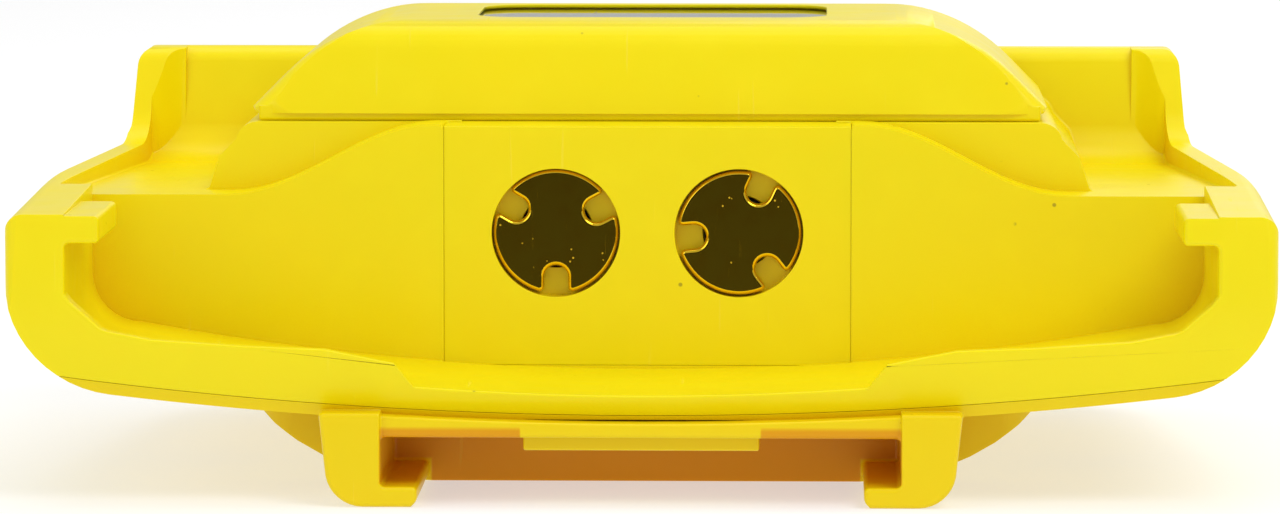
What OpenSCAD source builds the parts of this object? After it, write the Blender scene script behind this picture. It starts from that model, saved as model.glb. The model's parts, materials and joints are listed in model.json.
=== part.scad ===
// Dive computer module: a wide yellow case with an open contact bay at the front,
// a raised display housing, strap hooks under both ends and a coin-slot battery cap.
// X runs across the case, Y from the contact end to the far end, Z up.
// The origin is at the middle of the flat underside.

/* [Case] */
// Half width of the case at its widest
half_w = 40.2; // [39.8:0.1:40.6]
// Half length of the case
half_l = 31; // [31:0.5:33]
// Height of the deck around the display housing
deck_z = 18.4; // [18.3:0.1:18.6]
// Wall thickness of the upper case
wall = 2.4; // [2.2:0.1:2.6]
// Thickness of the bottom skin
skin = 0.8; // [0.7:0.1:0.9]
// Height of the wall at the far end
far_wall_z = 26.3; // [25.8:0.1:26.4]

/* [Display housing] */
// Height of the display housing
dome_z = 29.5; // [29.3:0.1:29.8]
// Half width of the display opening
window_x = 11.7; // [11:0.1:12]
// Thickness of the clear window
window_t = 1.4; // [1.2:0.1:1.5]

/* [Contacts] */
// Radius of each contact disc
contact_r = 4.1; // [3.8:0.1:4.3]
// Distance between the two contacts
contact_gap = 12; // [11:0.5:13]
// Height of the contacts
contact_z = 15.9; // [15.6:0.1:16.1]

/* [Strap hooks] */
// Half width of the channel between the hooks
channel_x = 16.5; // [16:0.5:17]
// How far each hook's lip reaches inwards
lip_reach = 2.35; // [2:0.05:2.6]
// Thickness of each hook's lip
lip_t = 1.3; // [1.1:0.1:1.4]

/* [Battery] */
// Radius of the coin cell
cell_r = 10; // [9.8:0.1:10]
// Thickness of the coin cell
cell_t = 3.2; // [2.8:0.1:3.2]

/* [Hidden] */
$fn = 64;
yellow = [0.93, 0.83, 0.03];
black = [0.06, 0.06, 0.07];
gold = [0.83, 0.63, 0.2];
steel = [0.7, 0.71, 0.72];
gap = 0.05;        // gap between fitted pieces
loose = 0.15;      // gap around a piece that turns or drops in
thread_gap = 0.02; // gap around a screw thread
cut = 0.5;         // how far a cutter runs past the face it opens
tall = 60;         // longer than any piece

// Underside of the case: a shallow arc that meets round corners
belly_z = 4.9;
belly_arc_r = 273;
corner_r = 7.4;
corner_x = half_w - corner_r;
belly_arc_z = belly_z + belly_arc_r;
corner_z = belly_arc_z - sqrt(pow(belly_arc_r - corner_r, 2) - corner_x * corner_x);
corner_lean = asin(corner_x / (belly_arc_r - corner_r));

// Plan of the case: straight sides that turn in a little, then round corners and a bowed far end
side_bend_y = -20;
side_bend_r = 100;
side_taper = 7.5;
side_run = 28.6;
far_corner_r = 9;
far_corner_end = 84;
front_edge_r = 0.8;

// Contact bay at the front
bay_x = 36.4;
bay_wall_y = -half_l + 18;
bay_floor_z = 7;
bay_floor_r = 183;
bay_corner_r = 3.2;
fence_top_z = 23;
block_x = 13.35;
fence_head_x = 14;
fence_foot_x = 27.6;
front_lip_t = 1.8;
front_lip = [[13.8, 6], [13.8, 6.8], [15.6, 9.1], [20, 10], [25, 10.2], [31, 10.6], [34, 11.2],
    [36, 13], [bay_x + 0.4, 14], [bay_x + 0.4, 10], [33, 8], [20, 6.5]];
bar_x = 34.2;
bar_l = 11.6;
bar_z = [16.75, 18.5];
arm_edge_r = 1.2;
arm_rise = 1.6;

// Rim and wall at the far end
rim_w = 1.4;
rim_rise = 1.4;
far_face_y = 16;
far_rib = 1.4;
far_fillet_r = 3;
far_edge_r = 1.2;
far_slope = [13, 14];
far_wall_x = 36.4;
far_top_r = 1.3;
far_foot_r = 1.5;
far_lean = 0.3;
far_rib_blend = 1.4;
rim_z = deck_z + rim_rise;

// Step under the display housing
step_x = 27;
step_foot_x = 29.1;
step_y = -9;
step_z = 22.9;
step_rear_y = 17;
flange_z = 20;
flange_in_x = 18.6;
flange_in_y = [-6.9, 14.1];
step_in_x = 24.4;
step_in_y = -7;

// Display housing
dome_x = 26.3;
dome_arc_r = 12;
dome_slope = 45;
dome_y = [-8.3, 15.7];
dome_neck = 0.25;
dome_neck_z = 23.4;
dome_lip = 0.25;
dome_edge_r = 1.5;
dome_top_r = 2.2;
dome_lean = 0.7;
window_y = [-3, 12];
window_r = 3;
window_z = dome_z - dome_lip - window_t;
window_edge = 1.5;
lcd_z = 24.7;
lcd_t = 1.75;
lcd_connector_y = [-3.9, 11.1];
board_z = 18.8;
board_t = 1.2;
board_x = 23.5;
board_y = [-6.8, 14.4];
housing_screw_x = 21;
housing_screw_y = [-4.2, 12];

// Contact discs: round-ended notches, by angle as seen from the front
contact_t = 1.15;
notch_r = 0.95;
notch_depth = 1.6;
left_turns = [28, 150, 270];
right_turns = [65, 185, 308];
stem_r = 1.2;
stem_l = 5.9;
lead_x = 1.9;
lead_z = 18.2;

// Belly, hooks and battery cup on the back case
pod_flat_x = 14;
pod_x = 25.4;
pod_y = 16.6;
pod_arc_r = 16;
hook_t = 3.5;
hook_flare = 0.4;
hook_corner_r = 2.4;
hook_y = [pod_y - 0.6, half_l - 0.4];
pad_t = 0.5;
pod_floor = 1.6;
cell_x = -4.5;
cell_y = 3.3;
cell_z = 4.35;
cap_r = 12.2;
cap_z = 0.2;
cap_flange = 1;
neck_r = 10.4;
cup_r = 10.55;
lug_r = 11.2;
lug_angle = 36;
cup_top_z = 7.8;
cup_out_r = 12.2;
sensor_x = 12.6;
sensor_r = 2.95;
sensor_z = 2.9;
sensor_t = 2.4;
sensor_boss_r = 4.3;
sensor_boss_z = 6.2;
guard_r = 3.35;
screw_spots = [[-29.5, -5], [29.5, -5], [-27.5, 21.5], [27.5, 21.5]];
boss_r = 3;
boss_z = 9.4;
boss_foot_z = 5;
roof = 2.1;
screw_r = 1;
screw_head_r = 1.9;
screw_seat_z = 6.8;

// Strap latches
latch_x = 7.5;
latch_y = [half_l - 12.6, half_l - 2.6];
latch_t = 0.7;
latch_z = 4.55;
latch_bump = 1.15;
latch_room_z = 6.3;
latch_gap = 0.2;

function arc(cx, cy, r, from, to, n) =
    [for (i = [0:n]) let (a = from + (to - from) * i / n) [cx + r * cos(a), cy + r * sin(a)]];
function mirrored(points) = [for (i = [len(points) - 1:-1:0]) [-points[i][0], points[i][1]]];

// Half of the case's plan, from the front right corner to the middle of the far end
bend_x = half_w - side_bend_r;
corner_plan_x = bend_x + side_bend_r * cos(side_taper) - side_run * sin(side_taper)
    - far_corner_r * cos(side_taper);
corner_plan_y = side_bend_y + side_bend_r * sin(side_taper) + side_run * cos(side_taper)
    - far_corner_r * sin(side_taper);
far_bow_r = corner_plan_x / cos(far_corner_end) + far_corner_r;
far_bow_y = corner_plan_y - (far_bow_r - far_corner_r) * sin(far_corner_end);
function plan_half(inset) = concat(
    arc(half_w - front_edge_r, -half_l + front_edge_r, front_edge_r - inset / 10, 270, 360, 4),
    arc(bend_x, side_bend_y, side_bend_r - inset, 0, side_taper, 6),
    arc(corner_plan_x, corner_plan_y, far_corner_r - inset, side_taper, far_corner_end, 12),
    arc(0, far_bow_y, far_bow_r - inset, far_corner_end + 1, 90, 5));
module plan(inset = 0) {
    right = plan_half(inset);
    polygon(concat(right, mirrored([for (i = [0:len(right) - 2]) right[i]])));
}

// The case's cross section, drawn in from its outside by inset
module section(inset = 0) {
    arc_r = belly_arc_r - inset;
    top_r = max(0.3, far_top_r - inset);
    bottom = arc(0, belly_arc_z, arc_r, 270, 270 + corner_lean, 14);
    corner = arc(corner_x, corner_z, corner_r - inset, 270 + corner_lean, 360, 12);
    wall_x = far_wall_x - inset;
    right = concat(bottom, corner, [[half_w - inset, rim_z]],
        arc(wall_x + far_foot_r, rim_z + far_foot_r, far_foot_r, 270, 180, 6),
        arc(wall_x - far_lean - top_r, far_wall_z - top_r, top_r, 4, 90, 6));
    polygon(concat(mirrored(right), right));
}
module below_arc(inset) {
    right = concat([[0, -1], [half_w + 1, -1]],
        arc(0, belly_arc_z, belly_arc_r - inset, 270 + 9, 270, 16));
    polygon(concat(right, mirrored(right)));
}

// The case seen from the side: Y across, Z up
side_top_y = far_face_y - far_rib;
far_rib_x = 34.2;
module side_view() {
    polygon(concat(
        arc(-half_l + 22, 15.4, 22, 180, 207, 8),
        [[-half_l + 3, 3], [half_l - 3, 3]],
        arc(half_l - 2.5, 7.2, 2.5, 280, 360, 6),
        [for (i = [0:12]) [half_l - far_slope[0] + far_slope[0] * cos(7.5 * i),
            far_wall_z - far_slope[1] + far_slope[1] * sin(7.5 * i)]],
        arc(side_top_y + far_edge_r + 0.7, far_wall_z - far_edge_r, far_edge_r, 90, 170, 5),
        arc(side_top_y - far_fillet_r, deck_z + rim_rise + far_fillet_r, far_fillet_r, -8, -90, 8),
        [[-half_l, deck_z + 0.2]]));
}
module across(from_y, to_y) {
    translate([0, to_y, 0]) rotate([90, 0, 0]) linear_extrude(to_y - from_y) children();
}
module along(half) {
    translate([-half, 0, 0]) rotate([90, 0, 90]) linear_extrude(2 * half) children();
}
module slab(x, y, z) {
    translate([x[0], y[0], z[0]]) cube([x[1] - x[0], y[1] - y[0], z[1] - z[0]]);
}
module both_sides() {
    children();
    mirror([1, 0, 0]) children();
}
module both_ends() {
    children();
    mirror([0, 1, 0]) children();
}
module round_box(x, y, r) {
    translate([-x, y[0] + r]) square([2 * x, y[1] - y[0] - 2 * r]);
    translate([-x + r, y[0]]) square([2 * x - 2 * r, y[1] - y[0]]);
    for (px = [-x + r, x - r]) for (py = [y[0] + r, y[1] - r]) translate([px, py]) circle(r);
}
module ring(outer, inner, z, h) {
    translate([0, 0, z]) difference() {
        cylinder(r = outer, h = h);
        translate([0, 0, -cut]) cylinder(r = inner, h = h + 2 * cut);
    }
}
module torus(r, section_r, z) {
    translate([0, 0, z]) rotate_extrude() translate([r, 0]) circle(section_r, $fn = 24);
}

module body_form(inset = 0) {
    intersection() {
        linear_extrude(40) plan(inset);
        across(-half_l, half_l) section(inset);
        along(half_w) side_view();
    }
}

// Front bay, between the arms: floor arc with round corners
module bay_outline() {
    floor_arc_z = bay_floor_z + bay_floor_r;
    foot_x = bay_x - bay_corner_r;
    foot_z = floor_arc_z - sqrt(bay_floor_r * bay_floor_r - foot_x * foot_x);
    right = concat(arc(0, floor_arc_z, bay_floor_r, 270, 270 + asin(foot_x / bay_floor_r), 12),
        arc(foot_x, foot_z + bay_corner_r, bay_corner_r, 280, 360, 7), [[bay_x, 40]]);
    polygon(concat(mirrored(right), right));
}
// Raised lip along the front edge of the bay, left out in the middle
module bay_lip() {
    both_sides() across(-half_l - 2 * cut, -half_l + front_lip_t) polygon(front_lip);
}
module bay_cutter() {
    difference() {
        across(-half_l - cut, bay_wall_y) bay_outline();
        bay_lip();
    }
}
// Rounds the outer top edges of the arms beside the bay
module arm_edge_cutter() {
    both_sides() translate([half_w, -half_l, deck_z + 0.2]) rotate([arm_rise, 0, 0])
        across(-cut, half_l + far_face_y) polygon(concat([[cut, cut], [-arm_edge_r, cut]],
            arc(-arm_edge_r, -arm_edge_r, arm_edge_r, 90, 0, 8), [[cut, -arm_edge_r]]));
}
// Wall behind the bay that climbs to the contact block in an S curve
module fence() {
    rise = fence_top_z - deck_z;
    both_sides() across(bay_wall_y, step_y + cut) polygon(concat(
        [[block_x - 1, deck_z - 3], [block_x - 1, fence_top_z]],
        [for (i = [0:16]) [fence_head_x + (fence_foot_x - fence_head_x) * i / 16,
            deck_z + rise * (1 + cos(180 * i / 16)) / 2]],
        [[fence_foot_x, deck_z - 3]]));
}
// Square bars at the top of the bay that hold a plugged-in clip down
module bay_bars() {
    both_sides() slab([bar_x, bay_x + cut], [-half_l, -half_l + bar_l], bar_z);
}
// Rib at each side of the far wall, blended into the wall by an S curve
module far_rib_plan() {
    polygon(concat([for (i = [0:12]) [far_rib_x - far_rib_blend + 2 * far_rib_blend * i / 12,
        side_top_y + far_rib * (1 + cos(180 * i / 12)) / 2]],
        [[half_w + cut, side_top_y], [half_w + cut, half_l], [far_rib_x - far_rib_blend, half_l]]));
}
module deck_cutter() {
    intersection() {
        difference() {
            linear_extrude(40) plan(rim_w);
            linear_extrude(tall) both_sides() far_rib_plan();
        }
        along(half_w) polygon(concat(
            [[bay_wall_y, 40], [bay_wall_y, deck_z]],
            arc(far_face_y - far_fillet_r, deck_z + far_fillet_r, far_fillet_r, 270, 352, 8),
            arc(far_face_y + far_edge_r + 0.4, far_wall_z - far_edge_r, far_edge_r, 172, 90, 5),
            [[far_face_y + far_edge_r + 0.4, 40]]));
    }
}
module step_outline() {
    edge_r = 1.4;
    right = concat([[step_foot_x, deck_z - 1], [step_foot_x, deck_z], [28.4, 20.6]],
        arc(step_x - edge_r + 0.3, step_z - edge_r, edge_r, 12, 90, 6));
    polygon(concat(mirrored(right), right));
}
cavity_x = 31.8;
cavity_y = bay_wall_y + 2.6;
module cavity() {
    intersection() {
        body_form(wall);
        translate([0, 0, -wall]) body_form();
        union() {
            slab([-half_w, half_w], [cavity_y, half_l], [-1, deck_z - roof]);
            slab([-half_w, half_w], [far_face_y + wall, half_l], [-1, far_wall_z]);
        }
    }
    translate([0, 0, 4]) linear_extrude(deck_z - roof - 4) intersection() {
        plan(wall + 2);
        translate([-cavity_x, cavity_y]) square([2 * cavity_x, tall]);
    }
    slab([-block_x, block_x], [step_y, 0], [6, deck_z - cut / 5]);
    slab([-step_in_x, step_in_x], [step_in_y, board_y[1] + gap], [6, flange_z]);
    slab([-flange_in_x, flange_in_x], flange_in_y, [flange_z - cut, step_z + cut]);
}
module case_bosses() {
    for (s = screw_spots) translate([s[0], s[1], boss_z]) cylinder(r = 2.6, h = deck_z - 1.5 - boss_z);
}
// Closed track of the seal between the two halves of the case
seal_x = 34.6;
seal_w = 0.8;
seal_h = 0.7;
module seal_area(inset) {
    intersection() {
        plan(1.2 + inset);
        translate([-seal_x + inset, bay_wall_y + 0.9 + inset]) square([2 * (seal_x - inset), tall]);
    }
}
module case_seal_form(slack) {
    intersection() {
        linear_extrude(30) difference() {
            seal_area(-slack);
            seal_area(seal_w + slack);
        }
        across(-half_l, half_l) difference() {
            below_arc(skin + seal_h + slack);
            below_arc(skin);
        }
    }
}

module upper_case() {
    color(yellow) difference() {
        union() {
            difference() {
                body_form();
                bay_cutter();
                deck_cutter();
                arm_edge_cutter();
            }
            fence();
            bay_bars();
            intersection() {
                across(step_y, step_rear_y) step_outline();
                translate([0, 0, 10]) linear_extrude(30) plan(rim_w + 1);
            }
        }
        difference() {
            cavity();
            case_bosses();
        }
        across(-half_l - cut, half_l + cut) below_arc(skin);
        slab([-block_x, block_x], [bay_wall_y - cut, step_y], [bay_floor_z + 0.2, 40]);
        case_seal_form(gap);
        latch_room();
        for (s = screw_spots) translate([s[0], s[1], boss_foot_z]) {
            cylinder(r = screw_r + thread_gap, h = 9.5);
            cylinder(r = boss_r + 2 * gap, h = boss_z - boss_foot_z);
        }
        for (x = [-housing_screw_x, housing_screw_x]) for (y = housing_screw_y)
            translate([x, y, flange_z - cut]) cylinder(r = screw_r, h = 4);
    }
}
module latch_room() {
    both_ends() slab([-latch_x - latch_gap, latch_x + latch_gap],
        [latch_y[0] - latch_gap, latch_y[1] + latch_gap], [-1, latch_room_z]);
}

// Lower half: bottom skin, belly with the battery cup, and the strap hooks
module pod_outline(inset) {
    right = concat(arc(pod_flat_x, pod_arc_r, pod_arc_r - inset, 270, 323, 8),
        [[pod_x - inset, 6.2]]);
    polygon(concat(mirrored(right), right));
}
module pod_form(inset) {
    intersection() {
        across(-pod_y + inset, pod_y - inset) pod_outline(inset);
        linear_extrude(20) round_box(pod_x, [-pod_y + inset, pod_y - inset], 2.4);
    }
}
module hook() {
    out_x = channel_x + hook_t;
    in_x = channel_x - lip_reach;
    across(hook_y[0], hook_y[1]) polygon(concat(
        [[in_x, 0.4], [in_x + 0.4, 0]],
        arc(out_x - hook_corner_r, hook_corner_r, hook_corner_r, 270, 350, 8),
        [[out_x + hook_flare, 6], [channel_x, 6], [channel_x, lip_t], [in_x, lip_t]]));
}
module back_case() {
    color(yellow) difference() {
        union() {
            difference() {
                intersection() {
                    body_form();
                    across(-half_l, half_l) below_arc(skin - gap / 2);
                }
                across(-pod_y + pod_floor, pod_y - pod_floor) translate([-pod_x + 2, -1])
                    square([2 * pod_x - 4, 8]);
            }
            difference() {
                intersection() {
                    pod_form(0);
                    across(-half_l, half_l) below_arc(skin - gap / 2);
                }
                pod_form(pod_floor);
            }
            both_ends() both_sides() hook();
            both_ends() across(pod_y - cut, half_l - 0.8) intersection() {
                translate([-channel_x - cut, belly_z - pad_t])
                    square([2 * channel_x + 2 * cut, 2]);
                below_arc(skin / 2);
            }
            translate([cell_x, cell_y, cut]) cylinder(r = cup_out_r, h = cup_top_z - cut);
            translate([sensor_x, 0, cut]) cylinder(r = sensor_boss_r, h = sensor_boss_z - cut);
            for (s = screw_spots) intersection() {
                translate([s[0], s[1], boss_foot_z]) cylinder(r = boss_r, h = boss_z - 0.1 - boss_foot_z);
                body_form();
            }
        }
        battery_cup_bores();
        sensor_bores();
        for (s = screw_spots) translate([s[0], s[1], 0]) {
            cylinder(r = screw_head_r + loose, h = screw_seat_z + 1.1);
            cylinder(r = screw_r + loose, h = 12);
        }
        latch_room();
    }
}
module battery_cup_bores() {
    translate([cell_x, cell_y, 0]) {
        translate([0, 0, -cut]) cylinder(r = cap_r + loose, h = cut + cap_z + cap_flange + gap);
        cylinder(r = cup_r, h = 12);
        translate([0, 0, 1.8]) cylinder(r = lug_r + 0.2, h = 1);
        intersection() {
            translate([0, 0, 1]) cylinder(r = lug_r + 0.3, h = 1.4);
            union() {
                for (k = [0:2]) rotate([0, 0, 60 + 120 * k]) lug_sector(lug_angle + 6);
            }
        }
    }
}
module lug_sector(angle) {
    reach = 2 * lug_r;
    linear_extrude(9) polygon([[0, 0], [reach, -reach * tan(angle / 2)], [reach, reach * tan(angle / 2)]]);
}
module sensor_bores() {
    translate([sensor_x, 0, -cut]) cylinder(r = guard_r + 2 * gap, h = cut + 1.15);
    translate([sensor_x, 0, 0]) cylinder(r = 1.6, h = 3);
    translate([sensor_x, 0, 2]) cylinder(r = sensor_r + 2 * gap, h = 8);
}

module display_housing() {
    color(yellow) difference() {
        union() {
            intersection() {
                dome_form();
                along(dome_x) dome_side();
                linear_extrude(40) round_box(dome_x, dome_y, 1.6);
            }
            slab([-dome_x + dome_neck + 0.2, dome_x - dome_neck - 0.2],
                [dome_y[0] + dome_neck, dome_y[1] - dome_neck], [step_z, dome_neck_z + cut]);
        }
        slab([-18.2, 18.2], [-6.6, 13.9], [20, window_z + cut / 2]);
        translate([0, 0, 20]) linear_extrude(window_z + window_t - 20)
            round_box(window_x + window_edge + gap,
                [window_y[0] - window_edge - gap, window_y[1] + window_edge + gap], window_r + 1);
        translate([0, 0, 20]) linear_extrude(20) round_box(window_x, window_y, window_r);
        for (x = [-housing_screw_x, housing_screw_x]) for (y = housing_screw_y)
            translate([x, y, 20]) cylinder(r = 0.92, h = 6.2);
    }
}
module dome_outline() {
    drop = dome_arc_r * (1 - cos(dome_slope));
    flank = (dome_z - dome_neck_z - 0.4 - drop) / tan(dome_slope);
    flat_x = dome_x - flank - dome_arc_r * sin(dome_slope);
    right = concat([[dome_x - 0.2, dome_neck_z], [dome_x, dome_neck_z + 0.4]],
        arc(flat_x, dome_z - dome_arc_r, dome_arc_r, 90 - dome_slope, 90, 14));
    polygon(concat(right, mirrored(right)));
}
// Outline of the housing with its front and rear edges rounded along the whole curve
module dome_form() {
    hull() for (t = [0:15:90]) {
        inset = dome_edge_r * (1 - cos(t));
        step_back = dome_edge_r * (1 - sin(t));
        across(dome_y[0] + step_back, dome_y[1] - step_back) {
            offset(delta = -inset) dome_outline();
            translate([0, -inset]) offset(delta = -inset) dome_outline();
        }
    }
}
module dome_side() {
    front_y = dome_y[0] + dome_lean + dome_top_r;
    rear_y = dome_y[1] - dome_lean - dome_edge_r;
    polygon(concat([[dome_y[0], dome_neck_z]],
        arc(front_y, dome_z - dome_top_r, dome_top_r, 172, 90, 9),
        arc(rear_y, dome_z - dome_edge_r, dome_edge_r, 90, 8, 6),
        [[dome_y[1], dome_neck_z]]));
}
module display_window() {
    color([0.75, 0.82, 0.85, 0.4]) translate([0, 0, window_z]) linear_extrude(window_t - gap)
        round_box(window_x + window_edge, [window_y[0] - window_edge, window_y[1] + window_edge],
            window_r + 1);
}
module window_seal() {
    foot = lcd_z + lcd_t;
    color(black) translate([0, 0, foot]) linear_extrude(window_z - foot) difference() {
        round_box(window_x + 1.1, [window_y[0] - 1, window_y[1] + 1], window_r);
        round_box(window_x + 0.4, [window_y[0] - 0.4, window_y[1] + 0.4], window_r - 0.6);
    }
}
module display_mask() {
    color([0.25, 0.3, 0.38]) translate([0, 0, window_z - 0.2]) linear_extrude(0.18) difference() {
        round_box(window_x + 0.35, [window_y[0] - 0.35, window_y[1] + 0.35], window_r - 0.7);
        round_box(window_x - 1.6, [window_y[0] + 1.6, window_y[1] - 2.4], 1);
    }
}
module lcd_panel() {
    color([0.55, 0.6, 0.52]) slab([-12.9, 12.9], [-4.1, 13.1], [lcd_z, lcd_z + lcd_t]);
}
module backlight() {
    color([0.9, 0.92, 0.88]) slab([-11.6, 11.6], [-1.6, 10.6], [lcd_z - 0.9, lcd_z - gap]);
}
module lcd_frame() {
    top = lcd_z + lcd_t + gap;
    color([0.12, 0.12, 0.13]) difference() {
        slab([-17.5, 17.5], [-6.3, 13.8], [board_z + board_t, top]);
        slab([-12.95, 12.95], [-4.15, 13.15], [lcd_z, top + cut]);
        for (y = lcd_connector_y) slab([-12.05, 12.05], [y - gap, y + 1.8 + gap], [10, top]);
        slab([-11.65, 11.65], [-1.65, 10.65], [lcd_z - 0.95, top]);
        slab([-10.6, 10.6], [-0.6, 9.6], [10, top]);
    }
}
module lcd_connector(y) {
    slab([-12, 12], [y, y + 1.8], [board_z + board_t, lcd_z]);
}
module lcd_connector_front() {
    color([0.5, 0.5, 0.55]) lcd_connector(lcd_connector_y[0]);
}
module lcd_connector_rear() {
    color([0.5, 0.5, 0.55]) lcd_connector(lcd_connector_y[1]);
}
module circuit_board() {
    color([0.05, 0.35, 0.15]) difference() {
        slab([-board_x, board_x], board_y, [board_z, board_z + board_t - gap / 5]);
        for (x = [-housing_screw_x, housing_screw_x]) for (y = housing_screw_y)
            translate([x, y, 10]) cylinder(r = 1.05, h = 15);
    }
}
module processor() {
    color(black) slab([-5, 5], [0.5, 8.5], [board_z + board_t, board_z + board_t + 1.4]);
}
module board_parts() {
    color([0.6, 0.5, 0.35]) {
        slab([-12, -6], [10, 13], [board_z - 1.8, board_z]);
        slab([-19, -16], [0, 2], [board_z - 1.2, board_z]);
        slab([-19, -16], [4, 6], [board_z - 1.2, board_z]);
        translate([-17, 10, board_z - 2.6]) cylinder(r = 1.5, h = 2.6);
    }
}
module buzzer() {
    color(gold) translate([13.5, 7.5, board_z - 2]) {
        cylinder(r = 6, h = 2);
        translate([0, 0, -0.4]) cylinder(r = 4, h = 0.5);
    }
}
module screw(head_r, head_h, shank_r, shank_l) {
    difference() {
        union() {
            cylinder(r = head_r, h = head_h);
            translate([0, 0, head_h - cut / 5]) cylinder(r = shank_r, h = shank_l + cut / 5);
        }
        for (a = [0, 90]) rotate([0, 0, a]) translate([-head_r * 0.6, -0.22, -cut])
            cube([head_r * 1.2, 0.44, cut + head_h * 0.55]);
    }
}
module housing_screws() {
    color(steel) for (x = [-housing_screw_x, housing_screw_x]) for (y = housing_screw_y)
        translate([x, y, board_z - 1]) screw(1.8, 1, 0.9, 6.8);
}
module case_screws() {
    color(steel) for (s = screw_spots) translate([s[0], s[1], screw_seat_z])
        screw(screw_head_r, 1.1, screw_r, 5.6);
}

// Contacts: a notched disc with a threaded stem through the contact block
module at_contact(side) {
    translate([side * contact_gap / 2, bay_wall_y + 0.3, contact_z]) rotate([-90, 0, 0]) children();
}
module contact_block() {
    color(yellow) difference() {
        slab([-block_x + gap, block_x - gap], [bay_wall_y + 2 * gap, step_y - gap],
            [bay_floor_z + 0.25, step_z]);
        for (side = [-1, 1]) at_contact(side) {
            translate([0, 0, -cut]) cylinder(r = contact_r + 0.12, h = cut + contact_t + loose);
            cylinder(r = 2.4, h = 2.3);
            cylinder(r = stem_r + gap, h = 10);
        }
    }
}
module contact(turns) {
    color(gold) {
        difference() {
            translate([0, 0, gap]) cylinder(r = contact_r, h = contact_t);
            for (turn = turns) rotate([0, 0, -turn]) {
                translate([contact_r - notch_depth + notch_r, 0, -cut])
                    cylinder(r = notch_r, h = contact_t + 2 * cut);
                translate([contact_r - notch_depth + notch_r, -notch_r, -cut])
                    cube([contact_r, 2 * notch_r, contact_t + 2 * cut]);
            }
        }
        translate([0, 0, contact_t - gap]) cylinder(r = stem_r, h = stem_l);
    }
}
module contact_left() {
    at_contact(-1) contact(left_turns);
}
module contact_right() {
    at_contact(1) contact(right_turns);
}
module contact_seals() {
    color(black) for (side = [-1, 1]) at_contact(side) torus(1.8, 0.5, 1.8);
}
module contact_nuts() {
    color(gold) for (side = [-1, 1]) at_contact(side) difference() {
        translate([0, 0, 4.1]) cylinder(r = 2, h = 1.6, $fn = 6);
        translate([0, 0, 3]) cylinder(r = stem_r + thread_gap, h = 5);
    }
}
module contact_leads() {
    back = step_y + 0.02;
    color(gold) for (side = [-1, 1]) difference() {
        translate([side * contact_gap / 2, 0, 0]) {
            slab([-lead_x, lead_x], [back, back + 0.25], [14, lead_z]);
            slab([-lead_x, lead_x], [back, -4.4], [lead_z - 0.2, lead_z]);
            translate([0, -5.4, lead_z - 0.1]) cylinder(r = 0.7, h = board_z - lead_z + 0.1);
        }
        at_contact(side) cylinder(r = stem_r + thread_gap, h = 9);
    }
}

module pressure_sensor() {
    color(steel) translate([sensor_x, 0, 0]) {
        translate([0, 0, sensor_z]) cylinder(r = sensor_r, h = sensor_t);
        translate([0, 0, sensor_z - 0.8]) cylinder(r = 1.9, h = 1);
    }
}
module sensor_seal() {
    color(black) translate([sensor_x, 0, 0]) torus(2.5, 0.4, 2.45);
}
module sensor_lead() {
    color([0.75, 0.45, 0.1]) translate([sensor_x, 0, 0])
        slab([-1.5, 1.5], [-0.1, 0.1], [sensor_z + sensor_t, board_z]);
}
module sensor_guard() {
    hole_r = 0.4;
    color(black) translate([sensor_x, 0, 0.25]) difference() {
        cylinder(r = guard_r, h = 0.85);
        for (k = [0:5]) rotate([0, 0, 60 * k]) translate([1.9, 0, -cut]) cylinder(r = hole_r, h = 3);
        translate([0, 0, -cut]) cylinder(r = hole_r, h = 3);
    }
}
module case_seal() {
    color(black) case_seal_form(0);
}

module battery_cell() {
    color(steel) translate([cell_x, cell_y, cell_z]) {
        cylinder(r = cell_r, h = cell_t - 0.5);
        cylinder(r = cell_r - 1.2, h = cell_t);
    }
}
// Coil between the circuit board and the cell
module battery_spring() {
    coil_r = 2.6;
    wire_r = 0.25;
    turns = 6;
    sides = 6;
    steps = 12 * turns;
    low = cell_z + cell_t + wire_r + 0.02;
    rise = board_z - low - wire_r - 0.02;
    points = [for (i = [0:steps]) for (j = [0:sides - 1])
        let (a = 360 * turns * i / steps, b = 360 * j / sides, r = coil_r + wire_r * cos(b))
        [r * cos(a), r * sin(a), low + rise * i / steps + wire_r * sin(b)]];
    around = [for (i = [0:steps - 1]) for (j = [0:sides - 1]) let (k = (j + 1) % sides)
        [i * sides + j, i * sides + k, (i + 1) * sides + k, (i + 1) * sides + j]];
    ends = [[for (j = [sides - 1:-1:0]) j], [for (j = [0:sides - 1]) steps * sides + j]];
    color(steel) translate([cell_x, cell_y, 0]) polyhedron(points, concat(around, ends));
}
module battery_clip() {
    x = cell_x + cell_r + 0.06;
    color(gold) slab([x, x + 0.3], [cell_y - 1.5, cell_y + 1.5], [cell_z + 0.2, board_z]);
}
module battery_cap() {
    color(yellow) translate([cell_x, cell_y, 0]) difference() {
        union() {
            translate([0, 0, cap_z]) cylinder(r = cap_r, h = cap_flange);
            translate([0, 0, cap_z]) cylinder(r = neck_r, h = cell_z - gap - cap_z);
            for (k = [0:2]) rotate([0, 0, 120 * k]) intersection() {
                translate([0, 0, 1.9]) cylinder(r = lug_r, h = 0.8);
                lug_sector(lug_angle);
            }
        }
        ring(neck_r + 1, neck_r - 0.75, 3.1, 0.85);
        rotate([0, 0, 25]) intersection() {
            translate([-8, -1.05, cap_z - cut]) cube([16, 2.1, cut + 1.5]);
            translate([0, 0, -2]) cylinder(r = 7.6, h = 6);
        }
    }
}
module battery_cap_seal() {
    color(black) translate([cell_x, cell_y, 0]) torus(neck_r - 0.3, 0.4, 3.525);
}

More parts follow.
